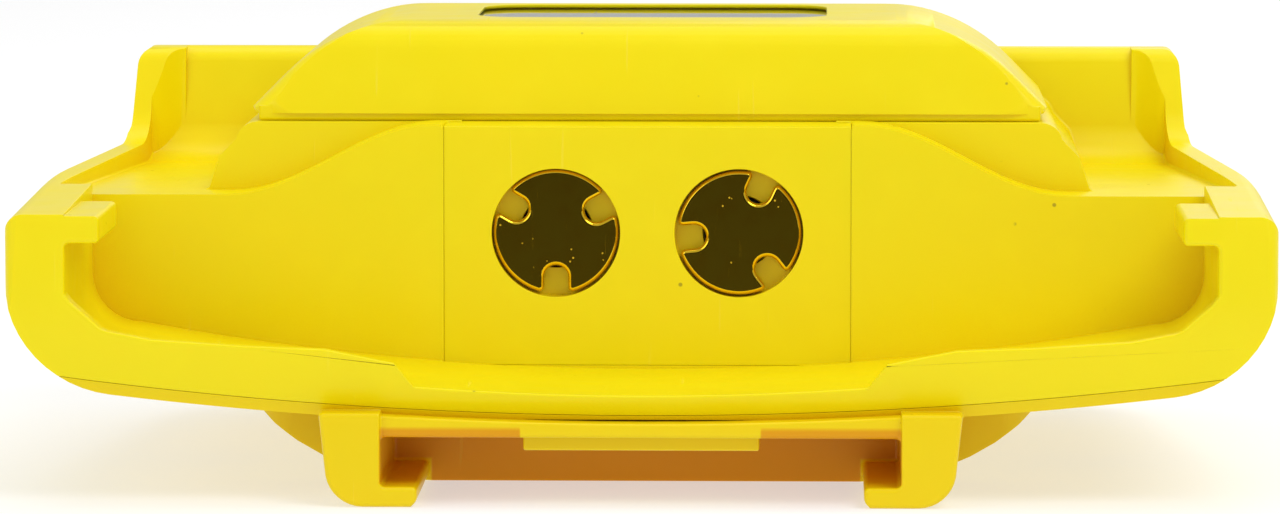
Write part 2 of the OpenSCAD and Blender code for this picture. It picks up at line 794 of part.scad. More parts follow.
// Sprung tongues that snap over the strap plate
module latch() {
    difference() {
        union() {
            slab([-latch_x, latch_x], latch_y, [latch_z, latch_z + latch_t]);
            slab([-latch_x, latch_x], [latch_y[1] - 2, latch_y[1]], [latch_z - latch_bump, latch_z + 0.1]);
        }
        slab([-latch_x - cut, latch_x + cut], [latch_y[0] - cut, latch_y[0] + 0.15],
            [latch_z + latch_t / 2, 8]);
    }
}
module strap_latch_front() {
    color(yellow) mirror([0, 1, 0]) latch();
}
module strap_latch_rear() {
    color(yellow) latch();
}

upper_case();
back_case();
display_housing();
display_window();
window_seal();
display_mask();
lcd_panel();
backlight();
lcd_frame();
lcd_connector_front();
lcd_connector_rear();
circuit_board();
processor();
board_parts();
buzzer();
housing_screws();
contact_block();
contact_left();
contact_right();
contact_seals();
contact_nuts();
contact_leads();
pressure_sensor();
sensor_seal();
sensor_lead();
sensor_guard();
case_seal();
case_screws();
battery_cell();
battery_spring();
battery_clip();
battery_cap();
battery_cap_seal();
strap_latch_front();
strap_latch_rear();
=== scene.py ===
"""Looks for a dive computer module: a yellow moulded case with an open contact bay."""

import json
import math

import bmesh
import bpy
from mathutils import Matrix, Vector


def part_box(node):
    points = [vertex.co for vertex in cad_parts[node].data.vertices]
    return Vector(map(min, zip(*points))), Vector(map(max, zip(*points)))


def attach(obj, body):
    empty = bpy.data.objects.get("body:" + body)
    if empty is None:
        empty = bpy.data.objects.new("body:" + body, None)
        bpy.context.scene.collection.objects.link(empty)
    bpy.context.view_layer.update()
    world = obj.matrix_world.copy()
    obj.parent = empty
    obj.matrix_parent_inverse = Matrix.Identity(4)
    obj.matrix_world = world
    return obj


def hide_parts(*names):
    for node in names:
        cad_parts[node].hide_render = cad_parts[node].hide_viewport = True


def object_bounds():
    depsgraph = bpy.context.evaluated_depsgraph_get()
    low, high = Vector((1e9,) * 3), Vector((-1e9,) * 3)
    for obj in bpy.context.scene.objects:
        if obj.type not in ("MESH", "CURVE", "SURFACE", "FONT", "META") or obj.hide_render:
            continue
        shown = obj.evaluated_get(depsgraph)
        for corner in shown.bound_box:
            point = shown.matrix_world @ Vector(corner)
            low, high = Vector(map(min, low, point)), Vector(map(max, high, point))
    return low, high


bl_info = {
    "name": "Dive computer module",
    "version": (1, 0, 0),
    "blender": (4, 5, 0),
    "location": "View3D > Sidebar > Dive computer",
    "description": "Models the finished pieces of a dive computer module around its packed frame",
    "category": "Object",
}

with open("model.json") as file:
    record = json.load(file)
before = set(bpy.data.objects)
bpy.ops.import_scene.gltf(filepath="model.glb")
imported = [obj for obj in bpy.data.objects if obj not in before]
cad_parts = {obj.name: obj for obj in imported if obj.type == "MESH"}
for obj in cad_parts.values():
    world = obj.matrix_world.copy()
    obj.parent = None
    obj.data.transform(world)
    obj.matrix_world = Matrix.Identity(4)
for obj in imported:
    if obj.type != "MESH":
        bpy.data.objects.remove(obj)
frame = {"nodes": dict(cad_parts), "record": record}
NODES = frame["nodes"]
CAD_BOX = [list(corner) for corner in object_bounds()]
CASE_LOW, CASE_HIGH = (Vector(corner) for corner in CAD_BOX)
CASE_MIDDLE = (CASE_LOW + CASE_HIGH) / 2
MM = 0.001

# The two case halves meet along an arc, seen from the front: its lowest height, its radius,
# how near to it a vertex counts as on it, and the rounding there, in millimetres
PARTING_LOW = 5.7
PARTING_RADIUS = 272.2
PARTING_REACH = 0.08
PARTING_EDGE = 0.05

# Strap channels under both ends of the case, in millimetres from its middle; they bound the painted
# shade in the channels
CHANNEL_SIDE = 16.55
LIP_SIDE = 14
LIP_TOP = 1.45
CHANNEL_START = 16.35
CHANNEL_TOP = 5.05
TONGUE_SIDE = 7.6
TONGUE_START = 26.3

# Angles in degrees: edges sharper than the first are rounded, faces within the second are
# shaded as one surface, and triangles within the third are joined into one face
KEEN_ANGLE = 28
SMOOTH_ANGLE = 35
FLAT_ANGLE = 0.3

# How much of a face a rounding may take up, and how little two edges of one run may turn
CORNER_SHARE = 0.45
SIDE_SHARE = 0.8
WIDTH_SHARE = 0.45
RUN_TURN = math.radians(30)
LEAST_ROUNDING = 0.00001
AMPLE_ROOM = 1.0


# ---------------------------------------------------------------- sizes and colours


class DiveMouldings(bpy.types.PropertyGroup):
    plastic_colour: bpy.props.FloatVectorProperty(
        name="Plastic",
        description="Colour of the yellow mouldings",
        subtype="COLOR",
        size=3,
        min=0,
        max=1,
        default=(0.89, 0.75, 0.001),
    )
    # Painted shade: a deeper orange mixed into the plastic in corners, the strap channels and below
    # the parting line, standing in for shade there
    painted_shade_colour: bpy.props.FloatVectorProperty(
        name="Plastic in hollows",
        description="Deeper colour that the plastic shows in corners and under overhangs",
        subtype="COLOR",
        size=3,
        min=0,
        max=1,
        default=(0.72, 0.31, 0.0),
    )
    plastic_roughness: bpy.props.FloatProperty(
        name="Plastic roughness",
        description="Middle value of the mouldings' roughness",
        subtype="FACTOR",
        min=0.05,
        max=1,
        default=0.3,
    )
    case_edge: bpy.props.FloatProperty(
        name="Case edges",
        description="Rounding of the edges of the two case halves",
        unit="LENGTH",
        min=0.00005,
        max=0.0005,
        default=0.0003,
    )
    housing_edge: bpy.props.FloatProperty(
        name="Housing edges",
        description="Rounding of the edges of the display housing",
        unit="LENGTH",
        min=0.00005,
        max=0.0006,
        default=0.0003,
    )
    block_edge: bpy.props.FloatProperty(
        name="Contact block edges",
        description="Rounding of the edges of the block around the contacts",
        unit="LENGTH",
        min=0.00003,
        max=0.0003,
        default=0.00004,
    )
    small_edge: bpy.props.FloatProperty(
        name="Small edges",
        description="Rounding of the edges of latches, caps and screws",
        unit="LENGTH",
        min=0.00003,
        max=0.0003,
        default=0.00015,
    )


class DiveContacts(bpy.types.PropertyGroup):
    gold_colour: bpy.props.FloatVectorProperty(
        name="Gold",
        description="Colour of the plating on the contacts",
        subtype="COLOR",
        size=3,
        min=0,
        max=1,
        default=(0.88, 0.6, 0.03),
    )
    rim_radius: bpy.props.FloatProperty(
        name="Rim",
        description="Rounding of each contact's rim",
        unit="LENGTH",
        min=0.0001,
        max=0.0006,
        default=0.00032,
    )
    mouth_radius: bpy.props.FloatProperty(
        name="Notch mouth",
        description="Rounding of the corners where a notch opens at the rim",
        unit="LENGTH",
        min=0.0001,
        max=0.0005,
        default=0.0003,
    )
    notch_width: bpy.props.FloatProperty(
        name="Notch width",
        description="Width of the round-ended notches in each contact",
        unit="LENGTH",
        min=0.001,
        max=0.0025,
        default=0.0016,
    )
    disc_thickness: bpy.props.FloatProperty(
        name="Disc thickness",
        description="Thickness of each contact disc",
        unit="LENGTH",
        min=0.0005,
        max=0.002,
        default=0.00115,
    )
    notch_depth: bpy.props.FloatProperty(
        name="Notch depth",
        description="How far each notch reaches in from the rim",
        unit="LENGTH",
        min=0.0008,
        max=0.0022,
        default=0.0019,
    )


class DiveStudio(bpy.types.PropertyGroup):
    camera_place: bpy.props.FloatVectorProperty(
        name="Camera",
        description="Where the camera stands",
        subtype="TRANSLATION",
        size=3,
        default=(0.0119, -0.481, 0.0573),
    )
    camera_aim: bpy.props.FloatVectorProperty(
        name="Aim",
        description="The point the camera looks at",
        subtype="TRANSLATION",
        size=3,
        default=(0.0, -0.031, 0.016),
    )
    lens: bpy.props.FloatProperty(
        name="Lens",
        description="Focal length of the camera in millimetres",
        min=50,
        max=400,
        default=201.8,
    )
    floor_colour: bpy.props.FloatVectorProperty(
        name="Floor",
        description="Colour of the floor",
        subtype="COLOR",
        size=3,
        min=0,
        max=1,
        default=(0.5, 0.5, 0.5),
    )
    world_light: bpy.props.FloatProperty(
        name="Room light",
        description="Strength of the light from all round",
        min=0,
        max=3,
        default=0.55,
    )


GROUPS = {
    "dive_mouldings": DiveMouldings,
    "dive_contacts": DiveContacts,
    "dive_studio": DiveStudio,
}


def settings(name):
    return getattr(bpy.context.scene, name)


# ---------------------------------------------------------------- shader building


class Field:
    """A number that varies over a surface; sums and products of fields become Math nodes."""

    def __init__(self, finish, socket):
        self.finish = finish
        self.socket = socket

    def math(self, operation, *values):
        made = self.finish.node("ShaderNodeMath", {"operation": operation}, dict(enumerate(values)))
        return Field(self.finish, made.outputs[0])

    def __add__(self, other):
        return self.math("ADD", self, other)

    def __sub__(self, other):
        return self.math("SUBTRACT", self, other)

    def __rsub__(self, other):
        return self.math("SUBTRACT", other, self)

    def __mul__(self, other):
        return self.math("MULTIPLY", self, other)

    def __pow__(self, other):
        return self.math("POWER", self, other)

    __radd__ = __add__
    __rmul__ = __mul__

    def larger(self, other):
        return self.math("MAXIMUM", self, other)

    def size(self):
        return self.math("ABSOLUTE", self)

    def fade(self, low, high):
        """0 below low, 1 above high and smooth between; low may be the larger."""
        made = self.finish.node(
            "ShaderNodeMapRange",
            {"interpolation_type": "SMOOTHSTEP"},
            {0: self, 1: low, 2: high},
        )
        return Field(self.finish, made.outputs[0])


class Finish:
    """One material and the nodes that it is made of."""

    def __init__(self, name):
        self.material = bpy.data.materials.new(name)
        self.material.use_nodes = True
        self.tree = self.material.node_tree
        self.tree.nodes.clear()
        self.spot = self.node("ShaderNodeTexCoord").outputs["Object"]

    def node(self, kind, choices=None, values=None):
        """Adds a node, sets its choices, then fills or links its sockets."""
        made = self.tree.nodes.new(kind)
        for name, value in (choices or {}).items():
            setattr(made, name, value)
        for name, value in (values or {}).items():
            socket = made.inputs[name]
            if isinstance(value, Field):
                value = value.socket
            if isinstance(value, bpy.types.NodeSocket):
                self.tree.links.new(value, socket)
            else:
                socket.default_value = value
        return made

    def turned(self, turn, stretch):
        """Position turned and stretched."""
        return self.node(
            "ShaderNodeMapping", None, {"Vector": self.spot, "Rotation": turn, "Scale": stretch}
        ).outputs[0]

    def noise(self, scale, detail=2.0, roughness=0.5, spot=None):
        made = self.node(
            "ShaderNodeTexNoise",
            None,
            {
                "Vector": spot or self.spot,
                "Scale": scale,
                "Detail": detail,
                "Roughness": roughness,
            },
        )
        return Field(self, made.outputs[0])

    def cells(self, scale):
        """Distance from the nearest of many scattered points, in cell widths."""
        made = self.node(
            "ShaderNodeTexVoronoi", {"feature": "F1"}, {"Vector": self.spot, "Scale": scale}
        )
        return Field(self, made.outputs[0])

    def specks(self, scale, size, share):
        """Scattered small spots: a share of the cells has one."""
        near = self.cells(scale).fade(size, size * 0.5)
        return near * self.noise(scale * 0.37, 0).fade(1 - share, 1 - share + 0.05)

    def scratches(self, turn, scale, length, share):
        """Fine parallel marks that come and go."""
        along = self.turned(turn, (1, 1 / length, 1 / length))
        line = self.noise(scale, 1, 0.5, along).fade(1 - share, 1 - share + 0.04)
        return line * self.noise(scale * 0.08, 1).fade(0.48, 0.62)

    def axis(self, name):
        made = self.node("ShaderNodeSeparateXYZ", None, {0: self.spot})
        return Field(self, made.outputs[name])

    def mix(self, share, first, second):
        """Colour between two, by a share from 0 to 1."""
        made = self.node(
            "ShaderNodeMix",
            {"data_type": "RGBA", "blend_type": "MIX"},
            {0: share, 6: rgba(first), 7: rgba(second)},
        )
        return made.outputs[2]

    def bump(self, height, distance):
        values = {"Height": height, "Distance": distance, "Strength": 1.0}
        return self.node("ShaderNodeBump", None, values).outputs[0]

    def openness(self, distance):
        """How open the surroundings are: 0 in a tight corner, 1 on a free surface."""
        made = self.node(
            "ShaderNodeAmbientOcclusion",
            {"samples": 6, "only_local": True},
            {"Distance": distance},
        )
        return Field(self, made.outputs["AO"])

    def bands(self, scale, distortion=0.0):
        """Parallel stripes across X."""
        made = self.node(
            "ShaderNodeTexWave",
            {"wave_type": "BANDS", "bands_direction": "X"},
            {"Vector": self.spot, "Scale": scale, "Distortion": distortion, "Detail": 1.0},
        )
        return Field(self, made.outputs[1])

    def surface(self, values):
        """The Principled shader and the output; keys are socket names."""
        shader = self.node("ShaderNodeBsdfPrincipled", None, values)
        self.node("ShaderNodeOutputMaterial", None, {"Surface": shader.outputs[0]})
        return self.material


def rgba(colour):
    if isinstance(colour, bpy.types.NodeSocket):
        return colour
    return (*colour, 1.0) if len(colour) == 3 else tuple(colour)


def shade(colour, factor):
    return tuple(min(1.0, part * factor) for part in colour)


# ---------------------------------------------------------------- finishes


def painted_shade_places(f):
    """Painted shade: where the plastic's colour is pulled deeper, standing in for shade in corners,
    the strap channels and below the parting line.
    """
    across, height = f.axis("X"), f.axis("Z")
    from_middle, from_end = across.size(), f.axis("Y").size()

    def step(field, place, width):
        """1 beyond a place and 0 before it, in millimetres; a negative width swaps them."""
        return field.fade((place - width / 2) * MM, (place + width / 2) * MM)

    # Painted shade in the strap channels between the hooks and over the lips, left off the latch
    # tongue
    shade_between_hooks = step(from_middle, CHANNEL_SIDE, -0.3) * step(height, LIP_TOP, 0.3)
    channel_shade = shade_between_hooks.larger(step(from_middle, LIP_SIDE, -0.2))
    channel_shade = channel_shade * step(from_end, CHANNEL_START, 0.3) * step(height, CHANNEL_TOP, -0.5)
    tongue = step(from_middle, TONGUE_SIDE, -0.2) * step(from_end, TONGUE_START, 0.2)
    channel_shade = channel_shade * (1 - tongue)
    # Painted shade below the parting line, where the lower faces turn down
    parting_rise = across * across * (1 / (2 * PARTING_RADIUS * MM))
    under = step(height - parting_rise, PARTING_LOW, -0.2)
    # Painted shade in corners, stronger where the surroundings close in
    corners = (1 - f.openness(9 * MM)).fade(0.42, 1.0)
    return (corners * 0.8).larger(channel_shade * 0.96).larger(under * 0.25)


def yellow_plastic():
    look = settings("dive_mouldings")
    base = tuple(look.plastic_colour)
    red, green, blue = base
    f = Finish("yellow_plastic")
    mottle = f.noise(70, 3, 0.55)
    cloud = f.noise(320, 2, 0.5)
    dirt = f.specks(700, 0.12, 0.3)
    rub = f.scratches((0.2, 0.5, 0.9), 2600, 26, 0.26).larger(
        f.scratches((0.9, -0.4, 2.2), 2200, 22, 0.26)
    )
    colour = f.mix(mottle.fade(0.3, 0.75), shade(base, 0.97), (red, green * 0.97, blue))
    colour = f.mix(cloud.fade(0.45, 0.8) * 0.3, colour, (red * 1.02, green * 1.03, blue))
    # Painted shade mixed into the plastic's colour
    colour = f.mix(painted_shade_places(f), colour, look.painted_shade_colour)
    colour = f.mix(rub * 0.1, colour, (0.95, 0.83, 0.18))
    colour = f.mix(dirt * 0.6, colour, (0.16, 0.12, 0.02))
    grain = f.noise(2400, 2, 0.6)
    ripple = f.noise(260, 1, 0.4)
    height = grain * 0.35 + ripple * 1.4 - rub * 0.5 + dirt * 0.6
    gloss_loss = cloud.fade(0.2, 0.9) * 0.1 + rub * 0.16 + dirt * 0.2
    return f.surface(
        {
            "Base Color": colour,
            "Roughness": gloss_loss + look.plastic_roughness,
            "IOR": 1.5,
            "Specular IOR Level": 0.24,
            "Subsurface Weight": 0.1,
            "Subsurface Radius": (1.0, 0.6, 0.08),
            "Subsurface Scale": 0.0012,
            "Normal": f.bump(height, 0.000012),
        }
    )


def gold_plate():
    look = settings("dive_contacts")
    base = tuple(look.gold_colour)
    f = Finish("gold_plate")
    tarnish = f.noise(900, 3, 0.6)
    fine = f.scratches((0.0, 0.6, 0.0), 9000, 30, 0.3).larger(
        f.scratches((0.0, -0.9, 0.2), 8000, 24, 0.3)
    )
    dust = f.specks(2400, 0.2, 0.36)
    colour = f.mix(tarnish.fade(0.35, 0.8), base, (base[0] * 0.95, base[1] * 0.86, base[2] * 0.7))
    height = fine * 0.6 + dust * 1.2 + f.noise(380, 1) * 0.8
    return f.surface(
        {
            "Base Color": colour,
            "Metallic": 1.0 - dust * 0.5,
            "Roughness": 0.08 + tarnish.fade(0.3, 0.9) * 0.05 + fine * 0.12 + dust * 0.4,
            "Normal": f.bump(height, 0.000003),
        }
    )


def window_clear():
    f = Finish("window_clear")
    haze = f.noise(180, 2)
    hair = f.scratches((0.0, 0.0, 0.7), 3600, 34, 0.3)
    return f.surface(
        {
            "Base Color": f.mix(haze.fade(0.3, 0.8), (0.95, 0.98, 0.98), (0.9, 0.95, 0.96)),
            "Roughness": 0.02 + haze * 0.02 + hair * 0.12,
            "IOR": 1.49,
            "Transmission Weight": 1.0,
            "Normal": f.bump(haze * 0.6 - hair * 0.4, 0.000004),
        }
    )


def plain_finish(name, low, high, roughness, spread, grain, depth):
    """A moulded or cut surface: two close colours, uneven gloss and a fine grain."""
    f = Finish(name)
    patch = f.noise(grain * 0.12, 3, 0.55)
    fine = f.noise(grain, 2, 0.6)
    return f.surface(
        {
            "Base Color": f.mix(patch.fade(0.3, 0.75), low, high),
            "Roughness": roughness + patch.fade(0.25, 0.8) * spread + fine * spread * 0.4,
            "Normal": f.bump(fine + patch * 1.5, depth),
        }
    )


def lcd_glass():
    f = Finish("lcd_glass")
    patch = f.noise(140, 2)
    lines = f.bands(900.0)
    colour = f.mix(patch.fade(0.3, 0.8), (0.22, 0.26, 0.2), (0.26, 0.3, 0.235))
    colour = f.mix(lines.fade(0.6, 0.95) * 0.12, colour, (0.1, 0.12, 0.1))
    return f.surface(
        {
            "Base Color": colour,
            "Roughness": 0.12 + patch * 0.1,
            "Coat Weight": 0.4,
            "Normal": f.bump(patch + lines * 0.1, 0.000003),
        }
    )


def black_plastic():
    f = Finish("black_plastic")
    patch = f.noise(200, 3)
    grain = f.noise(3200, 2, 0.6)
    rub = f.scratches((0.1, 0.2, 0.6), 2400, 20, 0.32)
    colour = f.mix(patch.fade(0.3, 0.8), (0.011, 0.011, 0.012), (0.022, 0.022, 0.024))
    colour = f.mix(rub * 0.4, colour, (0.07, 0.07, 0.072))
    return f.surface(
        {
            "Base Color": colour,
            "Roughness": 0.46 + patch * 0.14 - rub * 0.1,
            "Normal": f.bump(grain + rub * -0.5, 0.000012),
        }
    )


def connector_foam():
    f = Finish("connector_foam")
    layers = f.bands(1600.0, 0.2)
    patch = f.noise(500, 2)
    return f.surface(
        {
            "Base Color": f.mix(layers.fade(0.35, 0.65), (0.03, 0.03, 0.035), (0.4, 0.4, 0.42)),
            "Roughness": 0.7 + patch * 0.2,
            "Normal": f.bump(layers * 0.6 + patch, 0.00001),
        }
    )


def board_laminate():
    f = Finish("board_laminate")
    made = f.node(
        "ShaderNodeTexBrick",
        {"offset": 0.5},
        {
            "Vector": f.spot,
            "Color1": (0.0, 0.0, 0.0, 1.0),
            "Color2": (0.35, 0.35, 0.35, 1.0),
            "Mortar": (1.0, 1.0, 1.0, 1.0),
            "Scale": 260.0,
            "Mortar Size": 0.03,
            "Mortar Smooth": 0.2,
        },
    )
    tracks = f.node("ShaderNodeRGBToBW", None, {0: made.outputs[0]}).outputs[0]
    tracks = Field(f, tracks).fade(0.4, 0.9)
    weave = f.noise(1500, 2)
    colour = f.mix(weave.fade(0.3, 0.8), (0.008, 0.085, 0.035), (0.012, 0.12, 0.05))
    colour = f.mix(tracks * 0.7, colour, (0.03, 0.22, 0.1))
    return f.surface(
        {
            "Base Color": colour,
            "Roughness": 0.3 + weave * 0.14,
            "Normal": f.bump(tracks * 1.2 + weave * 0.3, 0.00002),
        }
    )


def brushed_metal(name, base, turn, roughness):
    """Metal with a fine one-way grain and a few handling marks."""
    f = Finish(name)
    grain = f.noise(2600, 3, 0.6, f.turned(turn, (1, 0.05, 0.05)))
    patch = f.noise(260, 3)
    marks = f.scratches((0.3, 0.8, 1.1), 3000, 24, 0.3)
    colour = f.mix(patch.fade(0.3, 0.8), base, shade(base, 0.82))
    return f.surface(
        {
            "Base Color": f.mix(marks * 0.4, colour, shade(base, 1.2)),
            "Metallic": 1.0,
            "Roughness": roughness + grain.fade(0.3, 0.8) * 0.16 + marks * 0.1,
            "Normal": f.bump(grain + marks * -0.6, 0.000004),
        }
    )


# Darker colour, lighter colour, roughness and its spread, grain scale, grain depth in metres
PLAIN = {
    "mask_print": ((0.035, 0.045, 0.06), (0.05, 0.062, 0.08), 0.42, 0.12, 2600, 0.000004),
    "light_panel": ((0.82, 0.84, 0.8), (0.88, 0.9, 0.87), 0.4, 0.14, 1800, 0.000005),
    "chip_resin": ((0.014, 0.014, 0.015), (0.026, 0.026, 0.027), 0.5, 0.16, 2800, 0.00001),
    "seal_rubber": ((0.012, 0.012, 0.013), (0.024, 0.024, 0.025), 0.6, 0.2, 1600, 0.00002),
    "flex_film": ((0.42, 0.16, 0.02), (0.52, 0.22, 0.03), 0.25, 0.14, 1200, 0.000006),
}
# Colour, turn of the grain, roughness
METALS = {
    "board_component": ((0.52, 0.47, 0.38), (0, 0, 0.6), 0.3),
    "spring_brass": ((0.62, 0.43, 0.16), (0, 0, 1.2), 0.24),
    "steel": ((0.56, 0.57, 0.58), (0, 0, 0.3), 0.22),
}
MAKERS = {
    "yellow_plastic": yellow_plastic,
    "gold_plate": gold_plate,
    "window_clear": window_clear,
    "lcd_glass": lcd_glass,
    "black_plastic": black_plastic,
    "connector_foam": connector_foam,
    "board_laminate": board_laminate,
}


def finish(name):
    """The material of a slot, made the first time it is asked for."""
    found = bpy.data.materials.get(name)
    if found is None or not found.get("dive_finish"):
        if name in PLAIN:
            found = plain_finish(name, *PLAIN[name])
        elif name in METALS:
            found = brushed_metal(name, *METALS[name])
        else:
            found = MAKERS[name]()
        found["dive_finish"] = True
    return found


SLOT_OF = {part["node"]: part["material_slot"] for part in frame["record"]["subparts"]}
BODY_OF = {
    node: body
    for body, members in frame["record"]["behaviour"]["bodies"].items()
    for node in members
}


# ---------------------------------------------------------------- modelling


def select_none():
    """Nothing selected, and object mode."""
    if bpy.context.object and bpy.context.object.mode != "OBJECT":
        bpy.ops.object.mode_set(mode="OBJECT")
    bpy.ops.object.select_all(action="DESELECT")


def pick(*pieces):
    """Selects these pieces only; the first is active."""
    select_none()
    for piece in pieces:
        piece.select_set(True)
    bpy.context.view_layer.objects.active = pieces[0]
    return pieces[0]


def place_primitive(adder, name, location, scale=None, turn=(0, 0, 0), **sizes):
    """Adds a primitive and writes its place, turn and size into its mesh."""
    select_none()
    adder(location=location, rotation=turn, **sizes)
    piece = bpy.context.object
    piece.name = name
    if scale is not None:
        piece.scale = scale
    bpy.ops.object.transform_apply(location=True, rotation=True, scale=True)
    return piece


def rod(name, centre, radius, depth, turn, vertices):
    return place_primitive(
        bpy.ops.mesh.primitive_cylinder_add,
        name,
        centre,
        None,
        turn,
        radius=radius,
        depth=depth,
        vertices=vertices,
    )


def apply_modifier(piece, kind, **values):
    """Adds one modifier and applies it."""
    pick(piece)
    made = piece.modifiers.new(kind.lower(), kind)
    for name, value in values.items():
        setattr(made, name, value)
    bpy.ops.object.modifier_apply(modifier=made.name)


def merged_copy(node, name):
    """A copy of a CAD node with its loose triangles joined and its flat faces whole."""
    piece = bpy.data.objects.new(name, NODES[node].data.copy())
    bpy.context.scene.collection.objects.link(piece)
    piece.data.name = name
    pick(piece)
    bpy.ops.object.mode_set(mode="EDIT")
    bpy.ops.mesh.select_all(action="SELECT")
    bpy.ops.mesh.remove_doubles(threshold=1e-6)
    bpy.ops.mesh.dissolve_limited(angle_limit=math.radians(FLAT_ANGLE))
    bpy.ops.object.mode_set(mode="OBJECT")
    bpy.ops.mesh.customdata_custom_splitnormals_clear()
    return piece


def corner_room(corner, keen):
    """How wide an edge can be rounded before it runs past a corner of one of its faces."""
    edge = corner.edge
    room = AMPLE_ROOM
    following = corner.link_loop_next
    for here, beside in ((corner, corner.link_loop_prev), (following, following)):
        other = beside.edge
        middle = here.vert.co
        first = (edge.other_vert(here.vert).co - middle).normalized()
        second = (other.other_vert(here.vert).co - middle).normalized()
        angle = first.angle(second, math.pi)
        if other in keen:
            shorter = min(edge.calc_length(), other.calc_length())
            room = min(room, CORNER_SHARE * shorter * math.tan(angle / 2))
        else:
            room = min(room, SIDE_SHARE * other.calc_length() * math.sin(angle))
    return room


def width_room(corner):
    """How far it is straight across the face from an edge to the face's other edges."""
    face, edge = corner.face, corner.edge
    start, end = corner.vert.co, corner.link_loop_next.vert.co
    along = (end - start).normalized()
    inward = face.normal.cross(along)
    length = (end - start).length
    flat = [((c.vert.co - start).dot(along), (c.vert.co - start).dot(inward)) for c in face.loops]
    joined = {corner, corner.link_loop_prev, corner.link_loop_next}
    room = AMPLE_ROOM
    for (u0, v0), (u1, v1), c in zip(flat, flat[1:] + flat[:1], face.loops):
        if c in joined:
            continue
        for part in (0.2, 0.5, 0.8):
            u = part * length
            if (u0 - u) * (u1 - u) <= 0 and abs(u1 - u0) > 1e-9:
                across = v0 + (v1 - v0) * (u - u0) / (u1 - u0)
                if across > 1e-7:
                    room = min(room, across)
    return room * WIDTH_SHARE


def turn_between(edge, other, vert):
    """How sharply a run of edges turns at a vertex."""
    first = vert.co - edge.other_vert(vert).co
    second = other.other_vert(vert).co - vert.co
    return first.angle(second, math.pi)


def on_parting(vert):
    """Whether a vertex lies where the two halves of the case meet."""
    x, z = vert.co.x / MM, vert.co.z / MM
    parting = PARTING_LOW + PARTING_RADIUS - math.sqrt(PARTING_RADIUS**2 - x * x)
    return abs(z - parting) < PARTING_REACH


def wished_width(edge, width, zones):
    """The rounding wanted for an edge: that of the first zone it lies in, or the usual one."""
    if all(on_parting(vert) for vert in edge.verts):
        return PARTING_EDGE * MM
    for low, high, wide in zones:
        if all(
            low[k] <= (abs(v.co[k]) if k == 0 else v.co[k]) / MM <= high[k]
            for v in edge.verts
            for k in range(3)
        ):
            return wide * MM
    return width


def weigh_edges(piece, width, angle, zones=()):
    """Weighs each sharp edge by the share of the widest rounding that fits there."""
    widest = max([width, *(wide * MM for low, high, wide in zones)])
    mesh = bmesh.new()
    mesh.from_mesh(piece.data)
    mesh.normal_update()
    layer = mesh.edges.layers.float.new("bevel_weight_edge")
    keen = {
        e
        for e in mesh.edges
        if len(e.link_faces) == 2 and e.calc_face_angle(0.0) > math.radians(angle)
    }
    room = {}
    for edge in keen:
        fits = [wished_width(edge, width, zones)]
        for corner in edge.link_loops:
            fits += [corner_room(corner, keen), width_room(corner)]
        room[edge] = max(0.0, min(fits))
    while keen:
        run = [keen.pop()]
        for edge in run:
            beside = [
                other
                for vert in edge.verts
                for other in vert.link_edges
                if other in keen and turn_between(edge, other, vert) < RUN_TURN
            ]
            run += beside
            keen.difference_update(beside)
        least = min(room[edge] for edge in run)
        for edge in run:
            edge[layer] = least / widest if least > LEAST_ROUNDING else 0.0
    mesh.to_mesh(piece.data)
    mesh.free()
    return widest


def round_edges(piece, width, segments=3, angle=KEEN_ANGLE, zones=()):
    """Rounds the edges that are sharper than the angle, each as widely as it has room for."""
    widest = weigh_edges(piece, width, angle, zones)
    apply_modifier(
        piece,
        "BEVEL",
        limit_method="WEIGHT",
        width=widest,
        segments=segments,
        use_clamp_overlap=False,
        miter_outer="MITER_ARC",
    )
    pick(piece)
    bpy.ops.object.mode_set(mode="EDIT")
    bpy.ops.mesh.select_all(action="SELECT")
    bpy.ops.mesh.remove_doubles(threshold=2e-7)
    bpy.ops.object.mode_set(mode="OBJECT")


def finished(piece, body, slot_name, *nodes):
    """Smooths a piece, gives it its material and ties it to the frame."""
    pick(piece)
    bpy.ops.object.shade_smooth_by_angle(angle=math.radians(SMOOTH_ANGLE))
    apply_modifier(piece, "WEIGHTED_NORMAL", keep_sharp=True, weight=50)
    piece.data.materials.clear()
    piece.data.materials.append(finish(slot_name))
    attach(piece, body)
    if nodes:
        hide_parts(*nodes)
    return piece


def rounded_node(node, name, width, segments=3, zones=()):
    """The finished moulding for one CAD node."""
    piece = merged_copy(node, name)
    round_edges(piece, width, segments, KEEN_ANGLE, zones)
    return finished(piece, BODY_OF[node], SLOT_OF[node], node)


# Softer edges of the upper case, in millimetres: lowest and highest |x|, y, z, and the rounding
UPPER_ZONES = (
    ((13.2, -13.2, 7.0), (13.5, -12.8, 23.1), 0.04),
    ((0.0, -13.2, 7.1), (13.5, -8.9, 7.3), 0.04),
    ((33.0, 13.0, 18.0), (41.0, 32.0, 27.0), 0.7),
    ((0.0, 13.0, 24.0), (37.0, 32.0, 27.0), 0.9),
    ((36.9, -30.9, 12.0), (41.0, 13.0, 21.0), 0.6),
    ((26.0, -9.1, 18.3), (30.0, 17.1, 23.0), 0.6),
)


# ---------------------------------------------------------------- operators


class DIVE_OT_case(bpy.types.Operator):
    """Model the upper case and the back case with rounded, moulded edges"""

    bl_idname = "dive.case"
    bl_label = "Case halves"

    def execute(self, context):
        look = settings("dive_mouldings")
        rounded_node("upper_case", "upper_moulding", look.case_edge, 4, UPPER_ZONES)
        rounded_node("back_case", "back_moulding", look.case_edge)
        return {"FINISHED"}


